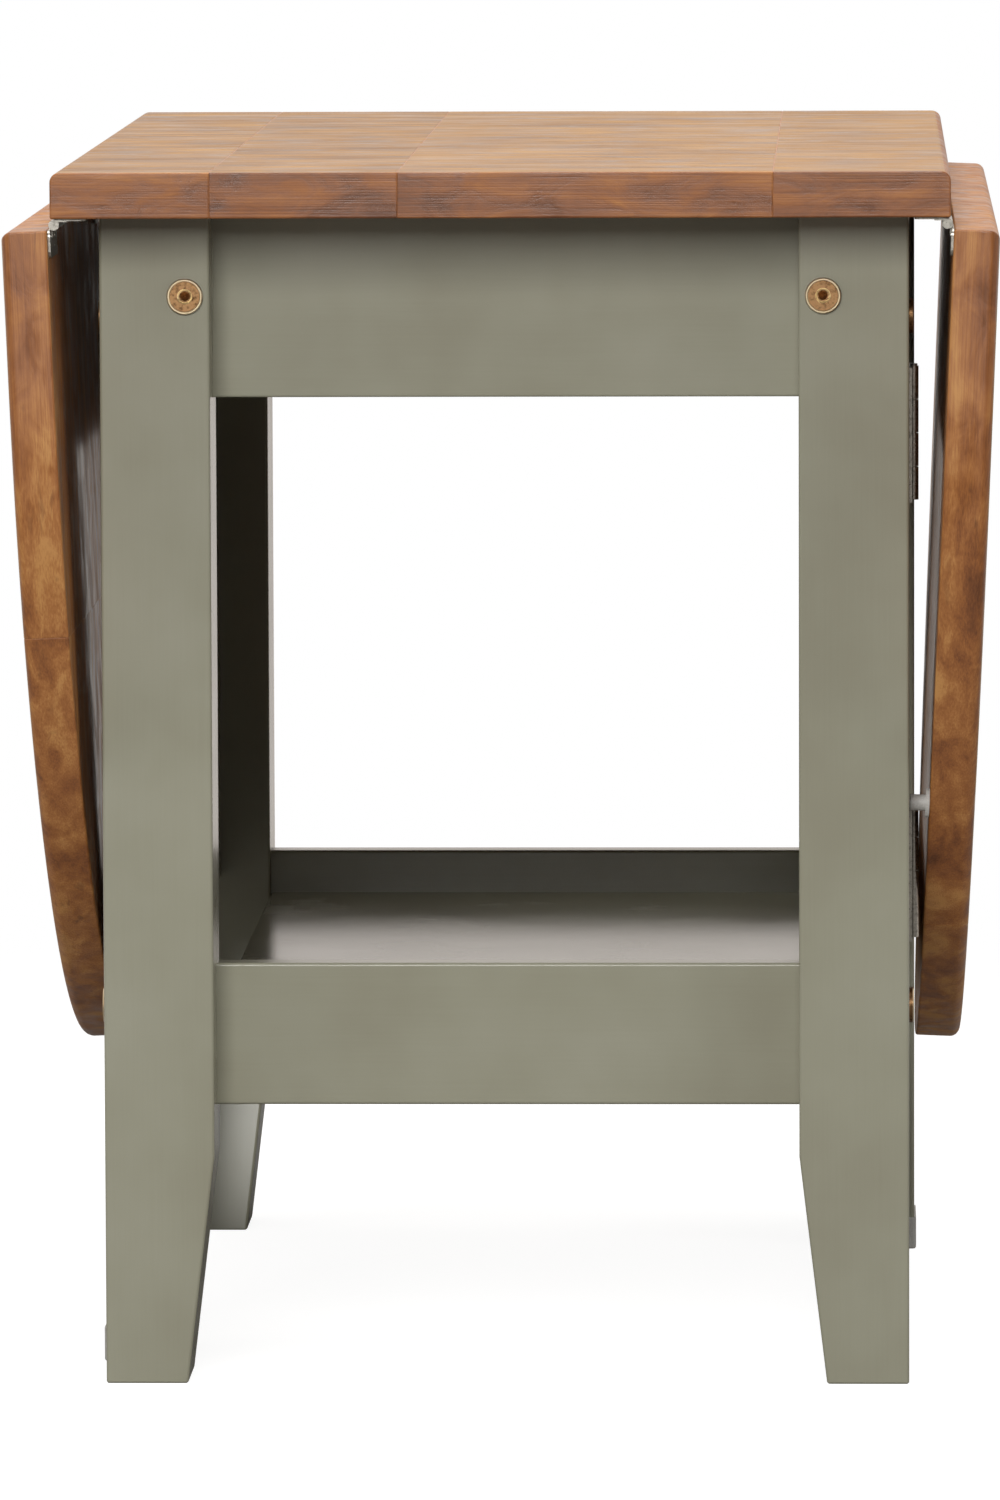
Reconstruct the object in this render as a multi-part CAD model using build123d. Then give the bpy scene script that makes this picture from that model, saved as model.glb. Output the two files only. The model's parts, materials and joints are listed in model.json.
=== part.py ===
from build123d import *
import os
from math import cos, radians, sin, sqrt

# Gateleg dining table, leaves hanging. Millimetres, +Z up, +X across the table.
# Origin: on the floor, under the middle of the top.

# Driving dimensions
height = 750
board = 28  # thickness of the top and of the leaves
top_width = 545  # across, X
top_depth = 886  # along, Y
top_round = 6  # upper edge along each long side
edge_soft = 1.5  # rounding of the top's end edges and of the painted rails
leaf_straight = 98  # straight stretch of a leaf before its half-round end
leaf_gap = 1  # between the top and a raised leaf
leaf_hang = 92.3  # degrees that a leaf turns from level to hanging

leg_width = 67.5  # X
leg_depth = 66  # Y
leg_face = 247.5  # outer side face of the legs, X
end_overhang = 70
taper_height = 141
foot_width = 50.5

rail = 20  # thickness of the end rails
side_rail = 22
side_rail_x = 195
apron_height = 115
rail_set_back = 34  # from the end faces of the legs to the aprons and stretchers
stretcher_low = 169
stretcher_high = 257
shelf_top = 228.5
shelf_board = 18
cleat = 18

gate_inner = 218
gate_outer = 253.5  # the gate leg stands a little proud of the fixed legs
gate_leg_reach = 594  # from the end face of the hinge leg to the gate leg
gate_leg_width = 60
gate_leg_top = 716
stile_width = 48
stile_low = 240
stile_high = 624
gate_rail_height = 60
gate_gap = 1.2  # between the hinge leg and the gate's stile
cap_height = 21
cap_wall = 1.2

bolt_hole = 4  # radius of a bolt's shank
bolt_head = 11
bolt_head_height = 3.2
dowel_radius = 4
dowel_length = 32
insert_radius = 6  # threaded inserts in the rail ends
insert_length = 24

flap_pin = 1.5  # radius of a leaf hinge's pin
flap_knuckle = 3.2
flap_length = 60
flap_reach = 20  # from the pin to the far edge of a hinge plate
flap_places = [-406, 0, 406]
gate_pin = 1.3
gate_knuckle = 2.9
gate_knuckle_length = 20.75
gate_hinge_bottoms = [269.5, 541]
run = 0.05  # running clearance round a hinge pin
slack = 0.35  # end gap between neighbouring knuckles

# Worked out from them
under = height - board
edge_x = top_width / 2
leaf_radius = top_depth / 2
leg_inner = leg_face - leg_width
end_face = top_depth / 2 - end_overhang
leg_back = end_face - leg_depth
apron_low = under - apron_height
rail_out = end_face - rail_set_back
rail_in = rail_out - rail
rail_y = (rail_out + rail_in) / 2
pin_x = edge_x - 2
pin_z = under - 4
gate_pin_x = leg_face + gate_knuckle + 0.3
gate_pin_y = -leg_back + gate_gap / 2
gate_leg_y = -end_face + gate_leg_reach


def block(x0, x1, y0, y1, z0, z1):
    size = (x1 - x0, y1 - y0, z1 - z0)
    return Pos((x0 + x1) / 2, (y0 + y1) / 2, (z0 + z1) / 2) * Box(*size)


def rod(start, direction, radius, length):
    plane = Plane(origin=start, z_dir=direction)
    return plane * Cylinder(radius, length, align=(Align.CENTER, Align.CENTER, Align.MIN))


def cone(start, direction, low_radius, high_radius, length):
    plane = Plane(origin=start, z_dir=direction)
    return plane * Cone(low_radius, high_radius, length, align=(Align.CENTER, Align.CENTER, Align.MIN))


def soften(shape, radius, axis):
    return fillet(shape.edges().filter_by(axis), radius)


def half_turn(shape):
    return Rot(0, 0, 180) * shape


def mirrored(shape, plane):
    return mirror(shape, about=plane)


def four_ways(shape):
    pair = [shape, mirrored(shape, Plane.YZ)]
    return pair + [mirrored(s, Plane.XZ) for s in pair]


def save(name, shapes):
    solids = [s for shape in shapes for s in shape.solids()]
    whole = solids[0] if len(solids) == 1 else Compound(children=solids)
    export_step(whole, f"parts/{name}.step")


os.makedirs("parts", exist_ok=True)


# Wood screws: a countersunk head, then a plain shank that stands for the thread
def screw(head_at, direction, head_radius=4, shank_radius=1.9, length=20):
    depth = head_radius - shank_radius
    head = cone(head_at, direction, head_radius, shank_radius, depth)
    tip = Vector(head_at) + Vector(direction).normalized() * depth
    return head + rod(tip, direction, shank_radius, length - depth)


# Furniture bolts: a flat flanged head with a dish and a hexagon socket
def bolt(head_at, direction, length):
    head = rod(head_at, direction, bolt_head, bolt_head_height)
    head = fillet(head.edges().filter_by(GeomType.CIRCLE), 1.1)
    plane = Plane(origin=head_at, z_dir=direction)
    dish = plane * Cylinder(7.2, 1.2)
    socket = plane * extrude(RegularPolygon(3.5, 6), 2.6)
    seat = Vector(head_at) + Vector(direction).normalized() * (bolt_head_height - 0.2)
    return head - dish - socket + rod(seat, direction, bolt_hole, length)


# Fixed top
top = block(-edge_x, edge_x, -leaf_radius, leaf_radius, under, height)
long_edges = top.edges().filter_by(Axis.Y).group_by(Axis.Z)[-1]
top = fillet(long_edges, top_round)
end_edges = top.faces().group_by(Axis.Y)[0].edges() + top.faces().group_by(Axis.Y)[-1].edges()
top = fillet(end_edges, edge_soft)


# A leaf lies level here, then turns down about its hinge pins
def hang(shape):
    pin = Axis((pin_x, 0, pin_z), (0, 1, 0))
    return shape.rotate(pin, leaf_hang)


leaf_near = edge_x + leaf_gap
leaf_bend = leaf_near + leaf_straight
outline = Pos(leaf_bend, 0) * Circle(leaf_radius)
outline = outline - Pos(leaf_bend - leaf_radius, 0) * Rectangle(2 * leaf_radius, 2 * leaf_radius)
straight = Pos((leaf_near + leaf_bend) / 2, 0) * Rectangle(leaf_straight, 2 * leaf_radius)
leaf = extrude(Pos(0, 0, under) * (outline + straight), board)
leaf = fillet(leaf.edges().filter_by(Plane.XY), 3)


# Leaf hinges under the top: knuckles share one pin, every other one on each plate
def flap_hinge(y):
    pitch = flap_length / 5
    fixed = block(pin_x - flap_reach, pin_x - 3, y - flap_length / 2, y + flap_length / 2, under - 1.5, under)
    moving = block(pin_x + 3, pin_x + flap_reach, y - flap_length / 2, y + flap_length / 2, under - 1.5, under)
    barrel_room = rod((pin_x, y - flap_length / 2, pin_z), (0, 1, 0), flap_knuckle + 0.5, flap_length)
    fixed = soften(fixed, 4, Axis.Z) - barrel_room
    moving = soften(moving, 4, Axis.Z) - barrel_room
    for n in range(5):
        low = y - flap_length / 2 + n * pitch + slack / 2
        high = low + pitch - slack
        knuckle = rod((pin_x, low, pin_z), (0, 1, 0), flap_knuckle, high - low)
        side = 1 if n % 2 else -1
        x_out = pin_x + side * 8
        tab = block(min(pin_x, x_out), max(pin_x, x_out), low, high, pin_z + 1.8, pin_z + 3.4)
        if n % 2:
            moving += knuckle + tab
        else:
            fixed += knuckle + tab
    fixed -= rod((pin_x, y - 40, pin_z), (0, 1, 0), flap_pin, 80)
    moving -= rod((pin_x, y - 40, pin_z), (0, 1, 0), flap_pin + run, 80)
    pin = rod((pin_x, y - flap_length / 2, pin_z), (0, 1, 0), flap_pin, flap_length)
    places = [(9.5, -20), (14, 0), (9.5, 20)]
    up = (0, 0, 1)
    fixed_screws = [screw((pin_x - x, y + dy, under - 1.5), up, 3.2, 1.6, 18) for x, dy in places]
    moving_screws = [screw((pin_x + x, y + dy, under - 1.5), up, 3.2, 1.6, 18) for x, dy in places]
    return fixed, moving, pin, fixed_screws, moving_screws


flap_fixed, flap_moving, flap_pins, flap_fixed_screws, flap_moving_screws = [], [], [], [], []
for place in flap_places:
    fixed, moving, pin, fixed_screws, moving_screws = flap_hinge(place)
    flap_fixed.append(fixed - fixed_screws)
    flap_moving.append(moving - moving_screws)
    flap_pins.append(pin)
    flap_fixed_screws += fixed_screws
    flap_moving_screws += moving_screws


# Bumper: a peg on a flange that keeps a hanging leaf off the leg its gate is hinged to
bumper_at = (pin_x + 361, -end_face + 26, under)
bumper = rod(bumper_at, (0, 0, -1), 9, 2.4) + rod(bumper_at, (0, 0, -1), 5, 12.1)
bumper = fillet(bumper.edges().group_by(Axis.Z)[0], 1)
leaf = leaf - flap_moving_screws


# Legs: straight outside, tapered at the foot on the inner side
def leg():
    inner = leg_face - leg_width
    foot_inner = leg_face - foot_width
    points = [(inner, under), (leg_face, under), (leg_face, 0), (foot_inner, 0), (inner, taper_height)]
    profile = Plane.XZ * make_face(Polyline(*points, close=True))
    body = Pos(0, -leg_back, 0) * extrude(profile, leg_depth)
    uprights = body.edges().filter_by(lambda e: abs(e.tangent_at(0.5).Z) > 0.9)
    body = fillet(uprights, 2)
    return chamfer(body.faces().sort_by(Axis.Z)[0].edges(), 1)


front_right_leg = leg()

# Rails between the legs
front_apron = block(-leg_inner, leg_inner, -rail_out, -rail_in, apron_low, under)
front_apron = soften(front_apron, edge_soft, Axis.X)
stretcher = block(-leg_inner, leg_inner, -rail_out, -rail_in, stretcher_low, stretcher_high)
stretcher = soften(stretcher, 2, Axis.X)
side_in = side_rail_x - side_rail / 2
side_out = side_rail_x + side_rail / 2
right_apron = block(side_in, side_out, -leg_back, leg_back, apron_low, under)
right_apron = soften(right_apron, edge_soft, Axis.Y)

# Shelf on two cleats
shelf = block(-leg_inner, leg_inner, -rail_in, rail_in, shelf_top - shelf_board, shelf_top)
shelf = soften(shelf, edge_soft, Axis.Y)
cleat_top = shelf_top - shelf_board
cleat_block = block(-leg_inner + 8, leg_inner - 8, -rail_in, -rail_in + cleat, cleat_top - cleat, cleat_top)
cleat_block = soften(cleat_block, edge_soft, Axis.X)
cleat_screws = []
for x in (-120, 0, 120):
    cleat_screws.append(screw((x, -rail_in + cleat, cleat_top - cleat / 2), (0, -1, 0), 3.8, 1.9, 32))
    cleat_screws.append(screw((x + 30, -rail_in + cleat / 2, cleat_top - cleat), (0, 0, 1), 3.8, 1.9, 32))

# Bolts, threaded inserts and dowels at one corner
end_bolt_z = 671
side_bolt_z = 656
stretcher_bolt_z = 230
head_proud = bolt_head_height - 0.2
end_bolt = bolt((side_rail_x, -end_face - head_proud, end_bolt_z), (0, 1, 0), leg_depth + insert_length)
side_bolt_length = leg_width + insert_length
apron_bolt = bolt((leg_face + head_proud, -rail_y, side_bolt_z), (-1, 0, 0), side_bolt_length)
stretcher_bolt = bolt((leg_face + head_proud, -rail_y, stretcher_bolt_z), (-1, 0, 0), side_bolt_length)
end_insert = rod((side_rail_x, -leg_back, end_bolt_z), (0, 1, 0), insert_radius, insert_length)
apron_insert = rod((leg_inner, -rail_y, side_bolt_z), (-1, 0, 0), insert_radius, insert_length)
stretcher_insert = rod((leg_inner, -rail_y, stretcher_bolt_z), (-1, 0, 0), insert_radius, insert_length)
corner_bolts = [end_bolt, apron_bolt, stretcher_bolt]
corner_inserts = [end_insert - end_bolt, apron_insert - apron_bolt, stretcher_insert - stretcher_bolt]
corner_dowels = []
for z in (630, 704):
    corner_dowels.append(rod((leg_inner - dowel_length / 2, -rail_y, z), (1, 0, 0), dowel_radius, dowel_length))
for z in (642, 692):
    start = (side_rail_x, -leg_back - dowel_length / 2, z)
    corner_dowels.append(rod(start, (0, 1, 0), dowel_radius, dowel_length))
for z in (192, 248):
    corner_dowels.append(rod((leg_inner - dowel_length / 2, -rail_y, z), (1, 0, 0), dowel_radius, dowel_length))
corner_tools = corner_bolts + [end_insert, apron_insert, stretcher_insert] + corner_dowels


def all_corners(shapes):
    return [s for shape in shapes for s in four_ways(shape)]


frame_tools = all_corners(corner_tools)


# Angle brackets that hold the top down on the rails
def bracket(x, y, turn):
    plate = 2
    foot = block(0, 28, -9, 9, under - plate, under)
    wall = block(0, plate, -9, 9, under - 28, under)
    angle = foot + wall
    up = screw((17, 0, under - plate), (0, 0, 1), 3.8, 1.9, 18)
    side = screw((plate, 0, under - 18), (-1, 0, 0), 3.8, 1.9, 16)
    place = Pos(x, y, 0) * Rot(0, 0, turn)
    return place * (angle - up - side), [place * up, place * side]


bracket_places = [(side_in, -170, 180), (side_in, 170, 180), (-side_in, -170, 0), (-side_in, 170, 0)]
bracket_places += [(-90, -rail_in, 90), (90, -rail_in, 90), (-90, rail_in, -90), (90, rail_in, -90)]
brackets, bracket_screws = [], []
for x, y, turn in bracket_places:
    angle, screws = bracket(x, y, turn)
    brackets.append(angle)
    bracket_screws += screws

# Gate: stile, leg and two rails, lap-glued with dowels
stile_y = -leg_back + gate_gap
stile_inner = leg_face - 34
stile = block(stile_inner, leg_face, stile_y, stile_y + stile_width, stile_low, stile_high)
stile = soften(stile, 2, Axis.Z)
gate_leg = block(gate_inner, gate_outer, gate_leg_y, gate_leg_y + gate_leg_width, cap_wall, gate_leg_top)
gate_leg = soften(gate_leg, 2, Axis.Z)
gate_leg = chamfer(gate_leg.faces().sort_by(Axis.Z)[-1].edges(), 1.5)
rail_inner = leg_face - 31
rail_outer = leg_face - 3
rail_span = (stile_y + stile_width, gate_leg_y)
gate_top_rail = block(rail_inner, rail_outer, *rail_span, stile_high - gate_rail_height, stile_high)
gate_bottom_rail = block(rail_inner, rail_outer, *rail_span, stile_low, stile_low + gate_rail_height)
gate_top_rail = soften(gate_top_rail, edge_soft, Axis.Y)
gate_bottom_rail = soften(gate_bottom_rail, edge_soft, Axis.Y)
gate_rail_x = (rail_inner + rail_outer) / 2
gate_dowels = []
for y in rail_span:
    for z in (stile_low + 16, stile_low + 44, stile_high - 44, stile_high - 16):
        start = (gate_rail_x, y - dowel_length / 2, z)
        gate_dowels.append(rod(start, (0, 1, 0), dowel_radius, dowel_length))
cap_outer = block(gate_inner - cap_wall, gate_outer + cap_wall, gate_leg_y - cap_wall,
                  gate_leg_y + gate_leg_width + cap_wall, 0, cap_height)
cap_outer = soften(cap_outer, 3, Axis.Z)
cap_outer = chamfer(cap_outer.faces().sort_by(Axis.Z)[0].edges(), 0.9)
foot_cap = cap_outer - gate_leg


# Gate hinges: plates on the outer faces of leg and stile, four knuckles on one pin
def gate_hinge(bottom):
    length = 4 * gate_knuckle_length
    axis_at = (gate_pin_x, gate_pin_y, bottom)
    x0, x1 = leg_face, leg_face + 2
    leaf_y = 26
    fixed = block(x0, x1, gate_pin_y - leaf_y, gate_pin_y - 3.4, bottom, bottom + length)
    moving = block(x0, x1, gate_pin_y + 3.4, gate_pin_y + leaf_y, bottom, bottom + length)
    for n in range(4):
        low = bottom + n * gate_knuckle_length + slack / 2
        high = low + gate_knuckle_length - slack
        knuckle = rod((gate_pin_x, gate_pin_y, low), (0, 0, 1), gate_knuckle, high - low)
        side = 1 if n % 2 == 0 else -1
        y_out = gate_pin_y + side * 5
        tab = block(x0 + 0.35, x1, min(gate_pin_y, y_out), max(gate_pin_y, y_out), low, high)
        if n % 2 == 0:
            moving += knuckle + tab
        else:
            fixed += knuckle + tab
    up = (0, 0, 1)
    fixed -= rod(axis_at, up, gate_pin, length)
    moving -= rod(axis_at, up, gate_pin + run, length)
    pin = rod(axis_at, up, gate_pin, length)
    pin += rod((gate_pin_x, gate_pin_y, bottom + length), up, gate_pin + 0.9, 1.2)
    fixed_screws, moving_screws = [], []
    for z, dy in ((14, 12), (length / 2, 18), (length - 14, 12)):
        for side, held in ((-1, fixed_screws), (1, moving_screws)):
            at = (x1, gate_pin_y + side * dy, bottom + z)
            held.append(screw(at, (-1, 0, 0), 3.4, 1.8, 22))
    return fixed, moving, pin, fixed_screws, moving_screws


gate_fixed, gate_moving, gate_pins, gate_fixed_screws, gate_moving_screws = [], [], [], [], []
for bottom in gate_hinge_bottoms:
    fixed, moving, pin, fixed_screws, moving_screws = gate_hinge(bottom)
    gate_fixed.append(fixed - fixed_screws)
    gate_moving.append(moving - moving_screws)
    gate_pins.append(pin)
    gate_fixed_screws += fixed_screws
    gate_moving_screws += moving_screws

stile = stile - gate_moving_screws - gate_dowels
gate_leg = gate_leg - gate_dowels
gate_top_rail = gate_top_rail - gate_dowels
gate_bottom_rail = gate_bottom_rail - gate_dowels

# Bodies of the frame, with every hole cut to its fitting
both_flap_screws = flap_fixed_screws + [half_turn(s) for s in flap_fixed_screws]
top = top - both_flap_screws - bracket_screws
front_right_leg = front_right_leg - corner_tools - gate_fixed_screws
rear_right_leg = mirrored(leg(), Plane.XZ) - [mirrored(s, Plane.XZ) for s in corner_tools]
front_apron = front_apron - frame_tools - bracket_screws
right_apron = right_apron - frame_tools - bracket_screws
front_stretcher = stretcher - frame_tools - cleat_screws
shelf = shelf - cleat_screws - [half_turn(s) for s in cleat_screws]
front_cleat = cleat_block - cleat_screws


save("fixed_top", [top])
save("front_right_leg", [front_right_leg])
save("rear_left_leg", [half_turn(front_right_leg)])
save("rear_right_leg", [rear_right_leg])
save("front_left_leg", [half_turn(rear_right_leg)])
save("front_apron", [front_apron])
save("rear_apron", [half_turn(front_apron)])
save("right_side_apron", [right_apron])
save("left_side_apron", [half_turn(right_apron)])
save("front_stretcher", [front_stretcher])
save("rear_stretcher", [half_turn(front_stretcher)])
save("shelf", [shelf])
save("front_shelf_cleat", [front_cleat])
save("rear_shelf_cleat", [half_turn(front_cleat)])
save("shelf_cleat_screws", cleat_screws + [half_turn(s) for s in cleat_screws])
save("end_face_bolts", four_ways(end_bolt))
save("apron_bolts", four_ways(apron_bolt))
save("stretcher_bolts", four_ways(stretcher_bolt))
save("threaded_inserts", all_corners(corner_inserts))
save("frame_dowels", all_corners(corner_dowels))
save("top_brackets", brackets)
save("top_bracket_screws", bracket_screws)

for side, turned in (("right", lambda s: s), ("left", half_turn)):
    save(f"{side}_leaf", [turned(hang(leaf))])
    save(f"{side}_leaf_bumper", [turned(hang(bumper))])
    save(f"{side}_leaf_hinge_plates", [turned(hang(s)) for s in flap_moving])
    save(f"{side}_leaf_hinge_screws", [turned(hang(s)) for s in flap_moving_screws])
    save(f"{side}_top_hinge_plates", [turned(s) for s in flap_fixed])
    save(f"{side}_top_hinge_screws", [turned(s) for s in flap_fixed_screws])
    save(f"{side}_leaf_hinge_pins", [turned(s) for s in flap_pins])
    save(f"{side}_gate_stile", [turned(stile)])
    save(f"{side}_gate_leg", [turned(gate_leg)])
    save(f"{side}_gate_top_rail", [turned(gate_top_rail)])
    save(f"{side}_gate_bottom_rail", [turned(gate_bottom_rail)])
    save(f"{side}_gate_dowels", [turned(s) for s in gate_dowels])
    save(f"{side}_gate_foot_cap", [turned(foot_cap)])
    save(f"{side}_gate_hinge_plates", [turned(s) for s in gate_moving])
    save(f"{side}_gate_hinge_screws", [turned(s) for s in gate_moving_screws])
    save(f"{side}_leg_hinge_plates", [turned(s) for s in gate_fixed])
    save(f"{side}_leg_hinge_screws", [turned(s) for s in gate_fixed_screws])
    save(f"{side}_gate_hinge_pins", [turned(s) for s in gate_pins])

lean = radians(leaf_hang - 90)
drop = pin_z - (under - leaf_straight - sqrt(leaf_radius**2 - gate_leg_y**2))
inner_face = pin_x + (4 - drop * sin(lean)) / cos(lean)
print(f"a hanging leaf clears the gate leg by {inner_face - gate_outer:.2f} mm")
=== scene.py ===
import bpy, bmesh, json
from math import cos, pi, radians, sin
from mathutils import Matrix, Vector


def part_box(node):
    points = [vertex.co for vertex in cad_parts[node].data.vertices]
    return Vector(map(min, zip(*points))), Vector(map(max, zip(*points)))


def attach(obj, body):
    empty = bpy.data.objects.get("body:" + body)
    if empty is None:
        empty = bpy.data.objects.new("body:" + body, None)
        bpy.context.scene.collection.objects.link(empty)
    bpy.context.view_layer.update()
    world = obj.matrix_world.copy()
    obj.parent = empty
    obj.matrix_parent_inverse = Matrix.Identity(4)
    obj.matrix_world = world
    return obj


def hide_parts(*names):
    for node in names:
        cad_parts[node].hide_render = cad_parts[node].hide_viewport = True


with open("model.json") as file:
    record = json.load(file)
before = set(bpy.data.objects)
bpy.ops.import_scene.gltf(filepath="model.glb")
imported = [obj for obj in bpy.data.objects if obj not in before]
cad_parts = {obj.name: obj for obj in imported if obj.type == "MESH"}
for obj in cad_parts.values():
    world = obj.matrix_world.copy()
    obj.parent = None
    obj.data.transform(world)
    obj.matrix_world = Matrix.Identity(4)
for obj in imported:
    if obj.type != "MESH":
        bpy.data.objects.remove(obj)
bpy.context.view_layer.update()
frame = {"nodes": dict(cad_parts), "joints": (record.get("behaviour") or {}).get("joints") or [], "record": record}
nodes = frame["nodes"]
joints = {j["name"]: j for j in frame["joints"]}
mm = 0.001
halfTurn = Matrix.Rotation(pi, 4, "Z")


def toLinear(hexColour):
    channels = [int(hexColour[n:n + 2], 16) / 255 for n in (0, 2, 4)]
    return [c / 12.92 if c <= 0.04045 else ((c + 0.055) / 1.055) ** 2.4 for c in channels] + [1.0]


def addNode(tree, kind, sockets=None, **settings):  # sockets: name or index to a value or another socket
    node = tree.nodes.new(kind)
    for name, value in settings.items():
        setattr(node, name, value)
    for name, value in (sockets or {}).items():
        if isinstance(value, bpy.types.NodeSocket):
            tree.links.new(value, node.inputs[name])
        else:
            node.inputs[name].default_value = value
    return node


def setStops(rampNode, stops):  # stops: place and sRGB hex, low to high
    ramp = rampNode.color_ramp
    while len(ramp.elements) < len(stops):
        ramp.elements.new(0.5)
    for element, (place, colour) in zip(ramp.elements, stops):
        element.position = place
        element.color = toLinear(colour)
    return rampNode


def objectPlace(tree):
    return addNode(tree, "ShaderNodeTexCoord").outputs["Object"]


def newMaterial(name):
    material = bpy.data.materials.new(name)
    material.use_nodes = True
    tree = material.node_tree
    return material, tree, tree.nodes["Principled BSDF"]


# ---- camera, floor and studio light
studio = {
    "cameraAt": (0.2167, -7.320, 1.0704),
    "cameraPitch": 5.571,  # degrees down
    "cameraYaw": 1.813,  # degrees towards -X
    "cameraRoll": -0.207,
    "lens": 273.4,
    "floorColour": "989795",
    "floorGlow": 0.9,  # how much of the white surround the paper shows by itself
    "floorFade": (0.9, 2.2),  # metres from the middle: the paper melts into the white surround
    "wallColour": "fff7f0",  # the white wall behind, as surfaces mirror it
    "wallGlow": 0.95,
    "wallEdge": (-0.2, 0.35),  # where the room turns into the wall, as the Y of the way looked
    "roomGlow": 0.3,  # what a surface that faces away from the white wall mirrors
    "worldLight": 0.035,
}
lamps = {  # place, aim, size in metres; power in watts
    "frontLight": ((-0.5, -4.4, 1.95), (0, 0, 0.4), (2.2, 1.5), 127),
    "topLight": ((0, -0.2, 3.6), (0, 0, 0.7), (2.6, 2.6), 112),
    "leftLight": ((-3.4, -1.6, 1.6), (0, 0, 0.5), (1.4, 1.8), 22),
    "rightLight": ((3.4, -1.6, 1.6), (0, 0, 0.5), (1.4, 1.8), 22),
    "rearLight": ((-1.6, 4.2, 1.6), (0, 0.3, 0.4), (1.6, 1.2), 110),  # for views from behind
    "footLight": ((-0.1, -2.4, 0.05), (-0.2, 0.35, 0.07), (0.5, 0.06), 0.1),  # low, on the rear feet
}
footLightSpread = 5  # degrees
farLegs = ["rear_left_leg", "rear_right_leg"]
farRails = ["rear_apron", "rear_stretcher"]


def placeCamera():
    camera = bpy.data.objects.new("camera", bpy.data.cameras.new("camera"))
    bpy.context.scene.collection.objects.link(camera)
    camera.location = studio["cameraAt"]
    turn = Matrix.Rotation(radians(studio["cameraYaw"]), 4, "Z")
    tilt = Matrix.Rotation(radians(90 - studio["cameraPitch"]), 4, "X")
    roll = Matrix.Rotation(radians(studio["cameraRoll"]), 4, "Z")
    camera.rotation_euler = (turn @ tilt @ roll).to_euler()
    camera.data.lens = studio["lens"]
    camera.data.clip_end = 60
    bpy.context.scene.camera = camera


def softbox(name):
    place, aim, size, power = lamps[name]
    light = bpy.data.objects.new(name, bpy.data.lights.new(name, "AREA"))
    bpy.context.scene.collection.objects.link(light)
    light.location = place
    light.rotation_euler = (Vector(aim) - Vector(place)).to_track_quat("-Z", "Y").to_euler()
    light.data.shape = "RECTANGLE"
    light.data.size, light.data.size_y = size
    light.data.energy = power
    return light


def choose(light, names, state):  # INCLUDE: the light falls on these CAD nodes only; EXCLUDE: on all but these
    chosen = bpy.data.collections.new(light.name + state)
    for name in names:
        chosen.objects.link(nodes[name])
    for member in chosen.collection_objects:
        member.light_linking.link_state = state
    light.light_linking.receiver_collection = chosen


def makeFloor():
    floorMesh = bpy.data.meshes.new("floor")
    near, far = studio["floorFade"]
    reach = far + 0.1
    floorMesh.from_pydata([(-reach, -reach, 0), (reach, -reach, 0), (reach, reach, 0), (-reach, reach, 0)],
                          [], [(0, 1, 2, 3)])
    floor = bpy.data.objects.new("floor", floorMesh)
    bpy.context.scene.collection.objects.link(floor)
    paper, tree, shader = newMaterial("studioPaper")
    shader.inputs["Base Color"].default_value = toLinear(studio["floorColour"])
    shader.inputs["Roughness"].default_value = 0.9
    away = addNode(tree, "ShaderNodeVectorMath", {0: objectPlace(tree)}, operation="LENGTH").outputs["Value"]
    fade = addNode(tree, "ShaderNodeMapRange", {"Value": away, "From Min": near, "From Max": far,
                   "To Min": 1.0, "To Max": 0.0}, interpolation_type="SMOOTHERSTEP")
    tree.links.new(fade.outputs[0], shader.inputs["Alpha"])
    shader.inputs["Emission Color"].default_value = toLinear("ffffff")
    path = addNode(tree, "ShaderNodeLightPath")
    glow = addNode(tree, "ShaderNodeMath", {0: path.outputs["Is Camera Ray"], 1: studio["floorGlow"]},
                   operation="MULTIPLY")
    tree.links.new(glow.outputs[0], shader.inputs["Emission Strength"])
    floorMesh.materials.append(paper)


def makeWorld():  # white to the camera; mirrored as a white wall behind the table and a dim room in front of it
    world = bpy.data.worlds.new("studioWorld")
    bpy.context.scene.world = world
    world.use_nodes = True
    tree = world.node_tree
    back = tree.nodes["Background"]
    way = addNode(tree, "ShaderNodeTexCoord").outputs["Generated"]
    depth = addNode(tree, "ShaderNodeSeparateXYZ", {"Vector": way}).outputs["Y"]
    wallFrom, wallTo = studio["wallEdge"]
    wall = addNode(tree, "ShaderNodeMapRange", {"Value": depth, "From Min": wallFrom, "From Max": wallTo,
                   "To Min": studio["roomGlow"], "To Max": studio["wallGlow"]}).outputs[0]
    path = addNode(tree, "ShaderNodeLightPath")
    mirrored = addNode(tree, "ShaderNodeMix", {0: path.outputs["Is Glossy Ray"], 2: studio["worldLight"], 3: wall},
                       data_type="FLOAT").outputs[0]
    glow = addNode(tree, "ShaderNodeMix", {0: path.outputs["Is Camera Ray"], 2: mirrored, 3: 1.0},
                   data_type="FLOAT").outputs[0]
    tree.links.new(glow, back.inputs["Strength"])
    hue = addNode(tree, "ShaderNodeMix", {0: path.outputs["Is Camera Ray"], 6: toLinear(studio["wallColour"]),
                  7: toLinear("ffffff")}, data_type="RGBA").outputs[2]
    tree.links.new(hue, back.inputs["Color"])


def makeLights():
    light = {name: softbox(name) for name in lamps}
    for name in ("frontLight", "leftLight", "rightLight"):
        choose(light[name], farLegs + farRails + ["rear_shelf_cleat"], "EXCLUDE")
    choose(light["rearLight"], farLegs + farRails + ["left_gate_leg", "right_gate_leg"], "INCLUDE")
    light["footLight"].data.spread = radians(footLightSpread)
    choose(light["footLight"], farLegs, "INCLUDE")


placeCamera()
makeFloor()
makeWorld()
makeLights()
bpy.context.scene.view_settings.view_transform = "Standard"
print("studio ready")


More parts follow.
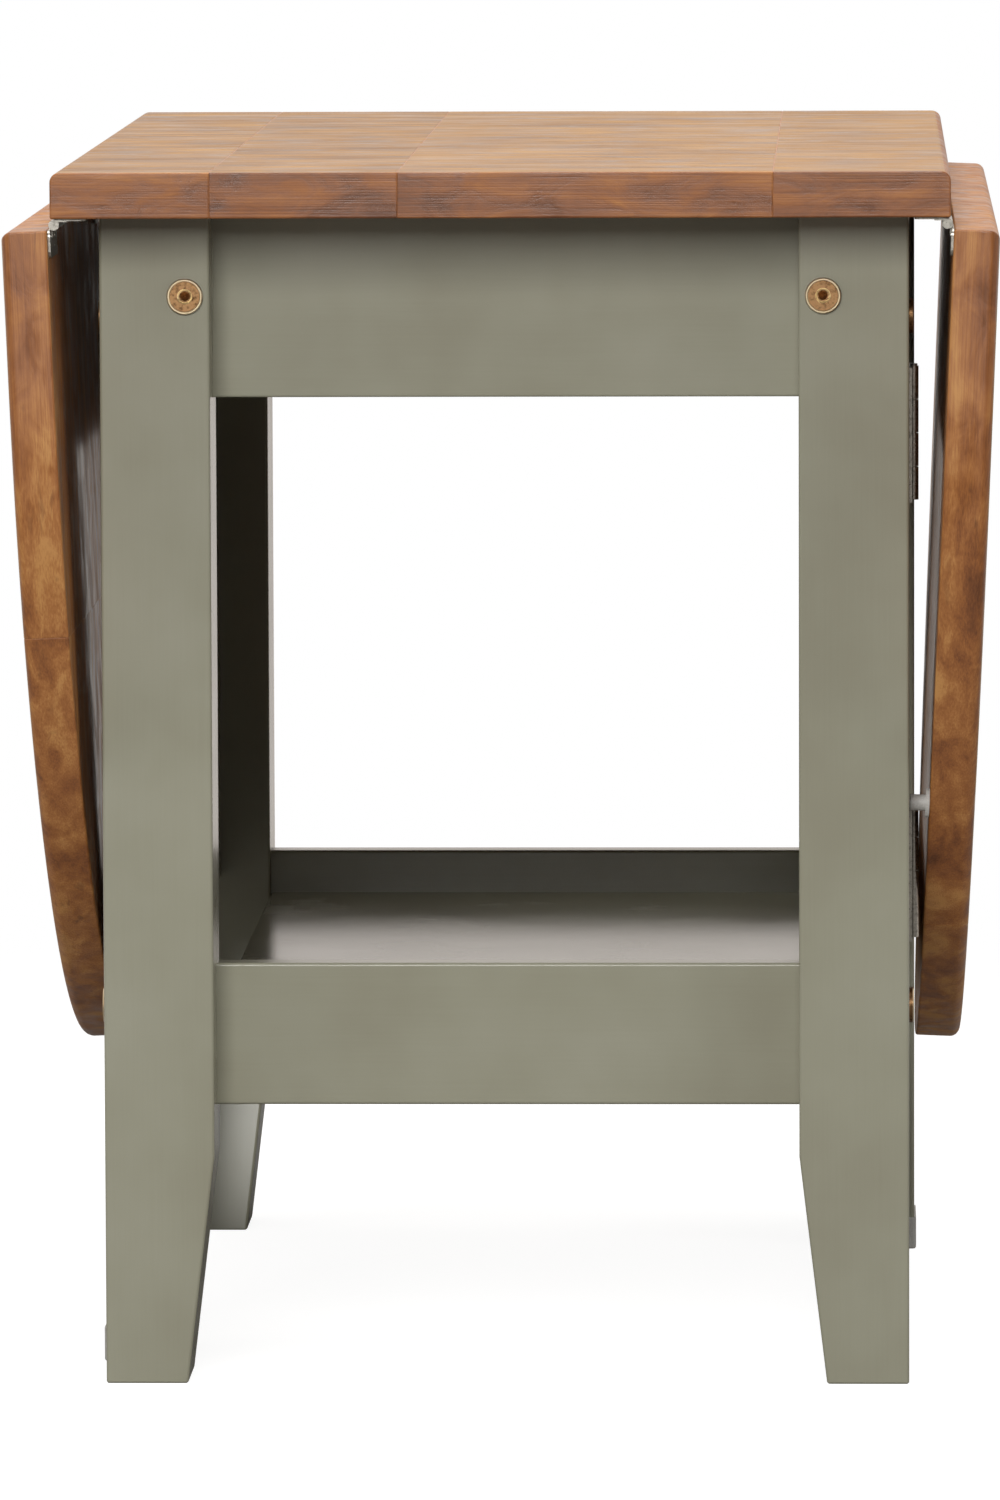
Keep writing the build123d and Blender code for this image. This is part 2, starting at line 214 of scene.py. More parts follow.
# ---- materials
wood = {
    "ramp": [(0.0, "60361a"), (0.36, "865028"), (0.55, "995f2f"), (0.74, "aa6f3a"), (1.0, "c18a4e")],
    # upper faces, lighter: painted light from above and painted sheen of the varnish
    "wornRamp": [(0.0, "67431f"), (0.28, "8e6437"), (0.6, "a97e4b"), (1.0, "c79d6a")],
    "streakColour": "4a2c1b",
    "seamColour": "cfa27a",
    "grainLength": 90,  # mm
    "grainWidth": 0.9,
    "figureLength": 260,
    "figureWidth": 16,
    "cloudSize": 70,
    "mottleLength": 42,
    "mottleWidth": 20,
    "streakLength": 55,
    "streakWidth": 7,
    "patchLength": 160,  # where the streaks gather
    "patchWidth": 60,
    "markShare": (0.45, 0.9),  # how dark the streaks are on the other faces and on the upward faces
    "staveShift": 7.3,  # how far apart in the wood the staves were cut
    "staveContrast": 0.07,
    "roughness": 0.42,
}


def stainedAcacia():  # acacia, stave-glued, stained brown and satin varnished: warm streaky grain, soft sheen
    material, tree, shader = newMaterial("stainedAcacia")
    place = addNode(tree, "ShaderNodeAttribute", attribute_name="boardPlace").outputs["Vector"]
    tone = addNode(tree, "ShaderNodeAttribute", attribute_name="staveTone").outputs["Fac"]
    shift = addNode(tree, "ShaderNodeCombineXYZ")
    slide = addNode(tree, "ShaderNodeMath", {0: tone, 1: wood["staveShift"]}, operation="MULTIPLY")
    tree.links.new(slide.outputs[0], shift.inputs["X"])
    tree.links.new(slide.outputs[0], shift.inputs["Y"])
    own = addNode(tree, "ShaderNodeVectorMath", {0: place, 1: shift.outputs[0]}, operation="ADD").outputs[0]

    def stretched(length, width, detail, rough, distortion=0.0):
        size = (1 / (length * mm), 1 / (width * mm), 1 / (width * mm))
        mapped = addNode(tree, "ShaderNodeMapping", {"Vector": own, "Scale": size}, vector_type="POINT")
        return addNode(tree, "ShaderNodeTexNoise", {"Vector": mapped.outputs[0], "Scale": 1.0, "Detail": detail,
                       "Roughness": rough, "Distortion": distortion}).outputs["Fac"]

    fine = stretched(wood["grainLength"], wood["grainWidth"], 4, 0.6)
    figure = stretched(wood["figureLength"], wood["figureWidth"], 4, 0.55, 0.6)
    cloud = stretched(wood["cloudSize"], wood["cloudSize"], 3, 0.5)
    mottle = stretched(wood["mottleLength"], wood["mottleWidth"], 5, 0.62, 0.7)
    streak = stretched(wood["streakLength"], wood["streakWidth"], 3, 0.55, 0.8)
    patch = stretched(wood["patchLength"], wood["patchWidth"], 2, 0.5)

    def mix(a, b, factor):
        return addNode(tree, "ShaderNodeMix", {0: factor, 2: a, 3: b}, data_type="FLOAT").outputs[0]

    body = mix(mix(mix(figure, cloud, 0.35), mottle, 0.42), fine, 0.2)
    contrast = wood["staveContrast"]
    lift = addNode(tree, "ShaderNodeMapRange", {"Value": tone, "To Min": -contrast, "To Max": contrast}).outputs[0]
    toned = addNode(tree, "ShaderNodeMath", {0: body, 1: lift}, operation="ADD").outputs[0]
    spread = addNode(tree, "ShaderNodeMapRange", {"Value": toned, "From Min": 0.375, "From Max": 0.625}).outputs[0]
    fresh = setStops(addNode(tree, "ShaderNodeValToRGB", {"Fac": spread}), wood["ramp"]).outputs["Color"]
    # upward faces take a lighter ramp: painted light from above and painted sheen of the varnish
    litTopColour = setStops(addNode(tree, "ShaderNodeValToRGB", {"Fac": spread}), wood["wornRamp"]).outputs["Color"]
    worn = addNode(tree, "ShaderNodeAttribute", attribute_name="worn").outputs["Fac"]
    colour = addNode(tree, "ShaderNodeMix", {0: worn, 6: fresh, 7: litTopColour}, data_type="RGBA").outputs[2]
    dark = addNode(tree, "ShaderNodeMapRange", {"Value": streak, "From Min": 0.59, "From Max": 0.71}).outputs[0]
    where = addNode(tree, "ShaderNodeMapRange", {"Value": patch, "From Min": 0.47, "From Max": 0.6}).outputs[0]
    marked = addNode(tree, "ShaderNodeMath", {0: dark, 1: where}, operation="MULTIPLY").outputs[0]
    freshShare, topMarkShare = wood["markShare"]
    share = addNode(tree, "ShaderNodeMapRange", {"Value": worn, "To Min": freshShare, "To Max": topMarkShare}).outputs[0]
    streaks = addNode(tree, "ShaderNodeMath", {0: marked, 1: share}, operation="MULTIPLY").outputs[0]
    streaked = addNode(tree, "ShaderNodeMix", {0: streaks, 6: colour, 7: toLinear(wood["streakColour"])},
                       data_type="RGBA").outputs[2]
    seam = addNode(tree, "ShaderNodeAttribute", attribute_name="seam").outputs["Fac"]
    seamed = addNode(tree, "ShaderNodeMix", {0: seam, 6: streaked, 7: toLinear(wood["seamColour"])},
                     data_type="RGBA").outputs[2]
    tree.links.new(seamed, shader.inputs["Base Color"])
    gloss = addNode(tree, "ShaderNodeMapRange", {"Value": mottle, "From Min": 0.35, "From Max": 0.65,
                    "To Min": wood["roughness"] - 0.14, "To Max": wood["roughness"] + 0.16}).outputs[0]
    tree.links.new(gloss, shader.inputs["Roughness"])
    swell = addNode(tree, "ShaderNodeBump", {"Height": mottle, "Strength": 0.3, "Distance": 0.0012})
    bump = addNode(tree, "ShaderNodeBump", {"Height": fine, "Strength": 0.35, "Distance": 0.0004,
                   "Normal": swell.outputs[0]})
    tree.links.new(bump.outputs[0], shader.inputs["Normal"])
    shader.inputs["IOR"].default_value = 1.5
    return material


paint = {
    "colour": "979582",
    "dark": "918e7b",
    "light": "9c9a88",
    "roughness": 0.24,
    "shelfRoughness": 0.16,
    "grainLength": 75,  # mm, grain of the wood that shows faintly through the paint
    "grainWidth": 1.6,
    "peelSize": 2.4,  # mm between the dimples of the sprayed coat
    "cloudScale": 9.0,  # soft patches of tone in each metre
}


def sagePaint(name, roughness, grainAxis):  # sprayed satin lacquer on hardwood: even grey green, faint grain under it
    material, tree, shader = newMaterial(name)
    place = objectPlace(tree)
    size = [1 / (paint["grainWidth"] * mm)] * 3
    size[grainAxis] = 1 / (paint["grainLength"] * mm)
    along = addNode(tree, "ShaderNodeMapping", {"Vector": place, "Scale": size})
    grain = addNode(tree, "ShaderNodeTexNoise", {"Vector": along.outputs[0], "Scale": 1.0, "Detail": 4.0,
                    "Roughness": 0.6}).outputs["Fac"]
    cloud = addNode(tree, "ShaderNodeTexNoise", {"Vector": place, "Scale": paint["cloudScale"],
                    "Detail": 3.0}).outputs["Fac"]
    tone = addNode(tree, "ShaderNodeMix", {0: 0.12, 2: cloud, 3: grain}, data_type="FLOAT").outputs[0]
    colour = setStops(addNode(tree, "ShaderNodeValToRGB", {"Fac": tone}),
                      [(0.34, paint["dark"]), (0.5, paint["colour"]), (0.66, paint["light"])])
    tree.links.new(colour.outputs["Color"], shader.inputs["Base Color"])
    peel = addNode(tree, "ShaderNodeTexNoise", {"Vector": place, "Scale": 1 / (paint["peelSize"] * mm),
                   "Detail": 2.0}).outputs["Fac"]
    lump = addNode(tree, "ShaderNodeMix", {0: 0.3, 2: peel, 3: grain}, data_type="FLOAT").outputs[0]
    bump = addNode(tree, "ShaderNodeBump", {"Height": lump, "Strength": 0.07, "Distance": 0.0003})
    tree.links.new(bump.outputs[0], shader.inputs["Normal"])
    gloss = addNode(tree, "ShaderNodeMapRange", {"Value": cloud, "To Min": roughness - 0.05,
                    "To Max": roughness + 0.06})
    tree.links.new(gloss.outputs[0], shader.inputs["Roughness"])
    shader.inputs["IOR"].default_value = 1.5
    return material


paintedRimHighlight = ("d9c7a4", 0.28)  # colour and roughness of the bolts' rim and socket ring: the colour is a painted highlight, the roughness a smoother metal
metals = {  # light colour, dark colour, roughness
    # steel bolts, yellow zinc plated and aged: warm bronze, scratched and blotchy
    "yellowZinc": ("8c6c4b", "4d3622", 0.36),
    "brightZinc": ("b9babb", "8f9193", 0.34),  # steel screws, clear zinc plated: cool grey
    "nickelSteel": ("a8a49b", "7d7a72", 0.26),  # pressed steel hinges, nickel plated: warm bright grey
}


blotchSize = 1000 / 420  # mm


def platedSteel(name):
    light, dark, roughness = metals[name]
    material, tree, shader = newMaterial(name)
    place = objectPlace(tree)
    blotch = addNode(tree, "ShaderNodeTexNoise", {"Vector": place, "Scale": 1 / (blotchSize * mm), "Detail": 5.0,
                     "Roughness": 0.65}).outputs["Fac"]
    colour = setStops(addNode(tree, "ShaderNodeValToRGB", {"Fac": blotch}), [(0.34, dark), (0.52, light)])
    # the rim and the socket ring take a pale painted highlight colour
    rubbed = addNode(tree, "ShaderNodeAttribute", attribute_name="rubbed").outputs["Fac"]
    highlighted = addNode(tree, "ShaderNodeMix", {0: rubbed, 6: colour.outputs["Color"], 7: toLinear(paintedRimHighlight[0])},
                   data_type="RGBA").outputs[2]
    tree.links.new(highlighted, shader.inputs["Base Color"])
    gloss = addNode(tree, "ShaderNodeMapRange", {"Value": blotch, "To Min": roughness + 0.14,
                    "To Max": roughness - 0.06}).outputs[0]
    smooth = addNode(tree, "ShaderNodeMix", {0: rubbed, 2: gloss, 3: paintedRimHighlight[1]}, data_type="FLOAT").outputs[0]
    tree.links.new(smooth, shader.inputs["Roughness"])
    bump = addNode(tree, "ShaderNodeBump", {"Height": blotch, "Strength": 0.15, "Distance": 0.0002})
    tree.links.new(bump.outputs[0], shader.inputs["Normal"])
    shader.inputs["Metallic"].default_value = 1.0
    return material


def mouldedPlastic():  # injection moulded polyethylene: pale warm grey, soft sheen, fine spark-eroded texture
    material, tree, shader = newMaterial("mouldedPlastic")
    place = objectPlace(tree)
    grain = addNode(tree, "ShaderNodeTexNoise", {"Vector": place, "Scale": 900.0, "Detail": 2.0})
    colour = setStops(addNode(tree, "ShaderNodeValToRGB", {"Fac": grain.outputs["Fac"]}),
                      [(0.3, "b3b0aa"), (0.7, "c2bfb9")])
    tree.links.new(colour.outputs["Color"], shader.inputs["Base Color"])
    bump = addNode(tree, "ShaderNodeBump", {"Height": grain.outputs["Fac"], "Strength": 0.2, "Distance": 0.0002})
    tree.links.new(bump.outputs[0], shader.inputs["Normal"])
    shader.inputs["Roughness"].default_value = 0.5
    shader.inputs["IOR"].default_value = 1.52
    return material


def rawBeech():  # turned beech dowels, left raw: pale pinkish wood with short dark flecks, matt
    material, tree, shader = newMaterial("rawBeech")
    place = objectPlace(tree)
    fleck = addNode(tree, "ShaderNodeTexNoise", {"Vector": place, "Scale": 700.0, "Detail": 3.0}).outputs["Fac"]
    colour = setStops(addNode(tree, "ShaderNodeValToRGB", {"Fac": fleck}), [(0.34, "b08a66"), (0.5, "d0ac85")])
    tree.links.new(colour.outputs["Color"], shader.inputs["Base Color"])
    bump = addNode(tree, "ShaderNodeBump", {"Height": fleck, "Strength": 0.3, "Distance": 0.0002})
    tree.links.new(bump.outputs[0], shader.inputs["Normal"])
    shader.inputs["Roughness"].default_value = 0.7
    return material


paintOnLegs = sagePaint("sageLacquerOnLegs", paint["roughness"], 2)
paintAlongTable = sagePaint("sageLacquerAlongTable", paint["roughness"], 1)
finishes = {
    "stained_wood": stainedAcacia(),
    "sage_paint": sagePaint("sageLacquerAcrossTable", paint["roughness"], 0),
    "shelf_paint": sagePaint("sageLacquerOnShelf", paint["shelfRoughness"], 1),
    "beech": rawBeech(),
    "yellow_zinc": platedSteel("yellowZinc"),
    "zinc_steel": platedSteel("brightZinc"),
    "nickel_steel": platedSteel("nickelSteel"),
    "grey_plastic": mouldedPlastic(),
}
slots = {part["node"]: part["material_slot"] for part in frame["record"]["subparts"]}
for name, node in nodes.items():
    finish = finishes[slots[name]]
    if name.endswith("_leg") or name.endswith("_stile"):
        finish = paintOnLegs
    elif name.endswith("side_apron") or name.endswith("_rail"):
        finish = paintAlongTable
    node.data.materials.clear()
    node.data.materials.append(finish)
print("finishes ready")


# ---- boards
board = {
    "longEdgeRound": 6,  # mm
    "leafEdgeRound": 6,
    "leafUnderRound": 1.5,
    "softEdge": 1.2,
    "leafGap": 1,
    "leafStraight": 98,
    "archSteps": 96,
    "seamWidth": 0.5,
    "seamDepth": 0.25,
    "seamOnFaces": 0.55,  # how far the glue line shows on the wide faces and on the edges
    "seamOnEdges": 0.05,
    "topSeams": [-176, -62, 165],  # glue joints between the blocks, mm from the middle of the table
    "topTones": [0.19, 0.17, 0.31, 0.33],  # stain of the wood between them, dark to light
    "rightSeams": [714],
    "rightTones": [0.72, 0.95],
    "leftSeams": [523],
    "leftTones": [0.75, 0.72],
}
hangAngle = radians(joints["right_leaf_hinge"]["range_deg"][1])
pin = Vector(joints["right_leaf_hinge"]["pos_m"])
hang = Matrix.Translation(pin) @ Matrix.Rotation(hangAngle, 4, "Y") @ Matrix.Translation(-pin)  # level to hanging
topLow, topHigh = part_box("fixed_top")


def flatShaded(data):  # the wide faces keep their own normals, and only the rounds between them shade smoothly
    holder = bpy.data.objects.new(data.name, data)
    bpy.context.scene.collection.objects.link(holder)
    weighted = holder.modifiers.new("weighted", "WEIGHTED_NORMAL")
    weighted.keep_sharp = True
    weighted.weight = 100
    shaded = bpy.data.meshes.new_from_object(holder.evaluated_get(bpy.context.evaluated_depsgraph_get()))
    bpy.data.objects.remove(holder)
    return shaded


def boardMesh(name, outline, low, high, rounds, seams, tones, seed):
    # outline: corners in the level plane, counter-clockwise; rounds: (edge test, radius, steps), in turn
    mesh = bmesh.new()
    corners = [mesh.verts.new((x, y, low)) for x, y in outline]
    base = mesh.faces.new(corners)
    base.normal_flip()
    raised = bmesh.ops.extrude_face_region(mesh, geom=[base])
    lifted = [v for v in raised["geom"] if isinstance(v, bmesh.types.BMVert)]
    bmesh.ops.translate(mesh, vec=(0, 0, high - low), verts=lifted)
    for test, radius, steps in rounds:
        edges = [e for e in mesh.edges if test(e)]
        bmesh.ops.bevel(mesh, geom=edges, offset=radius, segments=steps, profile=0.5, affect="EDGES",
                        clamp_overlap=True)
    for place in seams:
        for side in range(-2, 3):
            cutAt = (place + side * board["seamWidth"]) * mm
            bmesh.ops.bisect_plane(mesh, geom=mesh.verts[:] + mesh.edges[:] + mesh.faces[:],
                                   plane_co=(cutAt, 0, 0), plane_no=(1, 0, 0))
    bmesh.ops.recalc_face_normals(mesh, faces=mesh.faces)
    mesh.normal_update()
    grooves = [v for v in mesh.verts if any(abs(v.co.x - place * mm) < 1e-5 for place in seams)]
    for vert in grooves:
        vert.co -= vert.normal * board["seamDepth"] * mm
    data = bpy.data.meshes.new(name)
    mesh.to_mesh(data)
    mesh.free()
    data.attributes.new("boardPlace", "FLOAT_VECTOR", "POINT")
    data.attributes.new("seam", "FLOAT", "POINT")
    data.attributes.new("staveTone", "FLOAT", "FACE")
    data.attributes.new("worn", "FLOAT", "FACE")
    places, seam, tone, worn = (data.attributes[n] for n in ("boardPlace", "seam", "staveTone", "worn"))
    for vert in data.vertices:
        places.data[vert.index].vector = vert.co + Vector((seed * 1.7, 0, 0))
        onFace = min(vert.co.z - low, high - vert.co.z) < board["seamDepth"] * 1.5 * mm
        glued = any(abs(vert.co.x - p * mm) < 1e-4 for p in seams)
        seam.data[vert.index].value = (board["seamOnFaces"] if onFace else board["seamOnEdges"]) if glued else 0.0
    for face in data.polygons:
        tone.data[face.index].value = tones[sum(face.center.x > p * mm for p in seams)]
        # faces looking up are marked for the painted top light and for darker streaks
        worn.data[face.index].value = 1.0 if face.normal.z > 0.9 else 0.0
        face.use_smooth = True
    data.set_sharp_from_angle(angle=radians(40))
    data.materials.append(finishes["stained_wood"])
    return flatShaded(data)


def addBoard(data, name, body, replaced):
    piece = bpy.data.objects.new(name, data)
    bpy.context.scene.collection.objects.link(piece)
    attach(piece, body)
    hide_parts(replaced)


def flatEdge(edge, axis):  # does the edge run along this axis?
    way = (edge.verts[1].co - edge.verts[0].co).normalized()
    return abs(way[axis]) > 0.999


def level(edge, height):  # does the edge lie at this height, between two faces that meet squarely?
    flat = all(abs(v.co.z - height) < 1e-5 for v in edge.verts)
    return flat and edge.calc_face_angle(0) > radians(50)


def makeTop():
    x, y = topHigh[0], topHigh[1]
    high, low = topHigh[2], topLow[2]
    rounds = [
        (lambda e: flatEdge(e, 1) and e.verts[0].co.z > high - 1e-5, board["longEdgeRound"] * mm, 8),
        (lambda e: e.calc_face_angle(0) > radians(50), board["softEdge"] * mm, 3),
    ]
    outline = [(-x, -y), (x, -y), (x, y), (-x, y)]
    data = boardMesh("fixedTopBoard", outline, low, high, rounds, board["topSeams"], board["topTones"], 0)
    addBoard(data, "fixedTopBoard", "frame", "fixed_top")


def makeLeaf(side):
    high, low = topHigh[2], topLow[2]
    near = topHigh[0] + board["leafGap"] * mm
    bend = near + board["leafStraight"] * mm
    radius = topHigh[1]
    arch = [(bend + radius * cos(a), radius * sin(a))
            for a in (pi * (n / board["archSteps"] - 0.5) for n in range(board["archSteps"] + 1))]
    outline = [(near, -radius)] + arch + [(near, radius)]
    rounds = [
        (lambda e: level(e, high), board["leafEdgeRound"] * mm, 7),
        (lambda e: level(e, low), board["leafUnderRound"] * mm, 3),
        (lambda e: e.calc_face_angle(0) > radians(50), board["softEdge"] * mm, 2),
    ]
    seed = 1 if side == "right" else 2
    data = boardMesh(side + "LeafBoard", outline, low, high, rounds, board[side + "Seams"],
                     board[side + "Tones"], seed)
    data.transform(hang if side == "right" else halfTurn @ hang)
    addBoard(data, side + "LeafBoard", side + "_leaf", side + "_leaf")


makeTop()
makeLeaf("right")
makeLeaf("left")
print("boards ready")

# ---- bolts and screws, set out with geometry nodes
boltSize = {
    "Head Radius": 11.0,  # mm
    "Head Height": 3.2,
    "Edge Round": 0.6,
    "Rim Width": 1.4,
    "Dish Depth": 0.6,
    "Ring Radius": 4.7,
    "Socket Radius": 3.5,
    "Socket Depth": 5.0,
    "Drill Point": 3.0,
    "Shank Radius": 4.0,
    "Shank Length": 80.0,
}
screwSize = {
    "Recess Depth": 1.1,  # mm
    "Recess Width": 0.8,
    "Tip Length": 3.0,
}
spinSeed = 7


def openTree(name, sizes):  # an empty tree with a length input, in metres, for each size
    tree = bpy.data.node_groups.new(name, "GeometryNodeTree")
    tree.interface.new_socket("Places", in_out="INPUT", socket_type="NodeSocketGeometry")
    labels = {}
    for label, kind in [(size, "NodeSocketFloat") for size in sizes] + [("Finish", "NodeSocketMaterial")]:
        labels[label] = tree.interface.new_socket(label, in_out="INPUT", socket_type=kind).identifier
    tree.interface.new_socket("Geometry", in_out="OUTPUT", socket_type="NodeSocketGeometry")
    return tree, addNode(tree, "NodeGroupInput").outputs, labels


def calc(tree, operation, a, b):
    return addNode(tree, "ShaderNodeMath", {0: a, 1: b}, operation=operation).outputs[0]


def turned(tree, low, high, lowRadius, highRadius, corners=40):  # a cylinder or cone on the Z axis
    depth = calc(tree, "SUBTRACT", high, low)
    cone = addNode(tree, "GeometryNodeMeshCone", {"Vertices": corners, "Radius Top": highRadius,
                   "Radius Bottom": lowRadius, "Depth": depth}, fill_type="NGON")
    lift = addNode(tree, "ShaderNodeCombineXYZ", {"Z": low})
    return addNode(tree, "GeometryNodeTransform", {"Geometry": cone.outputs["Mesh"],
                   "Translation": lift.outputs[0]}).outputs[0]


def joined(tree, *shapes):
    union = addNode(tree, "GeometryNodeMeshBoolean", operation="UNION", solver="EXACT")
    for shape in shapes:
        tree.links.new(shape, union.inputs[1])
    return union.outputs[0]


def cut(tree, shape, *cutters):
    rest = addNode(tree, "GeometryNodeMeshBoolean", {0: shape}, operation="DIFFERENCE", solver="EXACT")
    for cutter in cutters:
        tree.links.new(cutter, rest.inputs[1])
    return rest.outputs[0]


def setOut(tree, given, shape):  # one copy of the shape at each place, along its way, turned at random about it
    way = addNode(tree, "GeometryNodeInputNamedAttribute", {"Name": "way"}, data_type="FLOAT_VECTOR")
    aim = addNode(tree, "FunctionNodeAlignRotationToVector", {"Vector": way.outputs[0]}, axis="Z")
    chance = addNode(tree, "FunctionNodeRandomValue", {3: 2 * pi, 8: spinSeed}, data_type="FLOAT")
    spin = addNode(tree, "FunctionNodeAxisAngleToRotation", {"Axis": (0, 0, 1), "Angle": chance.outputs[1]})
    turn = addNode(tree, "FunctionNodeRotateRotation", {0: aim.outputs[0], 1: spin.outputs[0]},
                   rotation_space="LOCAL")
    copies = addNode(tree, "GeometryNodeInstanceOnPoints", {"Points": given["Places"], "Instance": shape,
                     "Rotation": turn.outputs[0]})
    real = addNode(tree, "GeometryNodeRealizeInstances", {"Geometry": copies.outputs[0]})
    done = addNode(tree, "GeometryNodeSetMaterial", {"Geometry": real.outputs[0], "Material": given["Finish"]})
    addNode(tree, "NodeGroupOutput", {0: done.outputs[0]})


def boltTree():  # flat flanged head, raised rim, hexagon socket in a countersunk ring; the head's seat is at zero
    tree, given, labels = openTree("furnitureBolt", boltSize)
    top = given["Head Height"]
    shoulder = calc(tree, "SUBTRACT", top, given["Edge Round"])
    crown = calc(tree, "SUBTRACT", given["Head Radius"], given["Edge Round"])
    floor = calc(tree, "SUBTRACT", top, given["Dish Depth"])
    above = calc(tree, "ADD", top, mm)
    dishRadius = calc(tree, "SUBTRACT", given["Head Radius"], given["Rim Width"])
    slopeLow = calc(tree, "SUBTRACT", dishRadius, 0.4 * mm)
    slopeHigh = calc(tree, "ADD", dishRadius, 0.8 * mm)
    ringLow = calc(tree, "SUBTRACT", floor, calc(tree, "SUBTRACT", given["Ring Radius"], given["Socket Radius"]))
    ringHigh = calc(tree, "ADD", given["Ring Radius"], mm)
    overFloor = calc(tree, "ADD", floor, mm)
    bottom = calc(tree, "MULTIPLY", given["Shank Length"], -1.0)
    head = joined(tree, turned(tree, 0.0, shoulder, given["Head Radius"], given["Head Radius"], 72),
                  turned(tree, shoulder, top, given["Head Radius"], crown, 72),
                  turned(tree, bottom, 0.0003, given["Shank Radius"], given["Shank Radius"], 32))
    dish = turned(tree, floor, above, slopeLow, slopeHigh, 72)
    ring = turned(tree, ringLow, overFloor, given["Socket Radius"], ringHigh)
    socketLow = calc(tree, "SUBTRACT", top, given["Socket Depth"])
    socket = turned(tree, socketLow, above, given["Socket Radius"], given["Socket Radius"], 6)
    drilled = calc(tree, "MULTIPLY", given["Socket Radius"], 0.85)
    point = turned(tree, calc(tree, "SUBTRACT", socketLow, given["Drill Point"]),
                   calc(tree, "ADD", socketLow, 0.1 * mm), 0.0001, drilled, 24)
    shape = cut(tree, head, dish, ring, joined(tree, socket, point))
    spot = addNode(tree, "GeometryNodeInputPosition").outputs[0]
    axes = addNode(tree, "ShaderNodeSeparateXYZ", {"Vector": spot}).outputs
    away = calc(tree, "SQRT", calc(tree, "ADD", calc(tree, "MULTIPLY", axes["X"], axes["X"]),
                                   calc(tree, "MULTIPLY", axes["Y"], axes["Y"])), 0.0)
    # faces on the rim and on the ring round the socket are marked for the painted highlight
    onRim = calc(tree, "GREATER_THAN", axes["Z"], calc(tree, "ADD", floor, 0.1 * mm))
    outside = calc(tree, "GREATER_THAN", away, calc(tree, "SUBTRACT", given["Socket Radius"], 0.2 * mm))
    inside = calc(tree, "LESS_THAN", away, given["Ring Radius"])
    raised = calc(tree, "GREATER_THAN", axes["Z"], 0.0)
    onRing = calc(tree, "MULTIPLY", calc(tree, "MULTIPLY", outside, inside), raised)
    rubbed = addNode(tree, "GeometryNodeStoreNamedAttribute", {"Geometry": shape, "Name": "rubbed",
                     "Value": calc(tree, "MAXIMUM", onRim, onRing)}, data_type="FLOAT", domain="FACE")
    setOut(tree, given, rubbed.outputs[0])
    return tree, labels


def screwTree():  # countersunk head with a cross recess; the head's face is at zero, the tip below it
    tree, given, labels = openTree("crossScrew", ["Head Radius", "Shank Radius", "Length", *screwSize])
    headLow = calc(tree, "SUBTRACT", given["Shank Radius"], given["Head Radius"])
    tip = calc(tree, "MULTIPLY", given["Length"], -1.0)
    tipStart = calc(tree, "ADD", tip, given["Tip Length"])
    body = joined(tree, turned(tree, headLow, 0.0, given["Shank Radius"], given["Head Radius"], 24),
                  turned(tree, tipStart, calc(tree, "ADD", headLow, 0.0002), given["Shank Radius"],
                         given["Shank Radius"], 16),
                  turned(tree, tip, calc(tree, "ADD", tipStart, 0.0001), 0.0003, given["Shank Radius"], 16))
    arm = calc(tree, "MULTIPLY", given["Head Radius"], 1.1)
    depth = calc(tree, "MULTIPLY", given["Recess Depth"], 2.0)
    arms = []
    for wide, deep in ((arm, given["Recess Width"]), (given["Recess Width"], arm)):
        size = addNode(tree, "ShaderNodeCombineXYZ", {"X": wide, "Y": deep, "Z": depth})
        arms.append(addNode(tree, "GeometryNodeMeshCube", {"Size": size.outputs[0]}).outputs["Mesh"])
    setOut(tree, given, cut(tree, body, *arms))
    return tree, labels


def grow(name, places, treeAndLabels, sizes, body, slot, replaced):
    tree, labels = treeAndLabels
    data = bpy.data.meshes.new(name)
    data.from_pydata([spot for spot, way in places], [], [])
    ways = data.attributes.new("way", "FLOAT_VECTOR", "POINT")
    for n, (spot, way) in enumerate(places):
        ways.data[n].vector = way
    piece = bpy.data.objects.new(name, data)
    bpy.context.scene.collection.objects.link(piece)
    modifier = piece.modifiers.new(name, "NODES")
    modifier.node_group = tree
    for label, value in sizes.items():
        modifier[labels[label]] = value * mm
    modifier[labels["Finish"]] = finishes[slot]
    grown = piece.evaluated_get(bpy.context.evaluated_depsgraph_get())
    mesh = bpy.data.meshes.new_from_object(grown)
    piece.modifiers.clear()
    piece.data = mesh
    mesh.name = name
    mesh.shade_smooth()
    mesh.set_sharp_from_angle(angle=radians(32))
    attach(piece, body)
    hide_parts(replaced)


def fourCorners(x, y, z, way):
    return [((x * i, y * j, z), (way[0] * i, way[1] * j, 0)) for i in (1, -1) for j in (1, -1)]


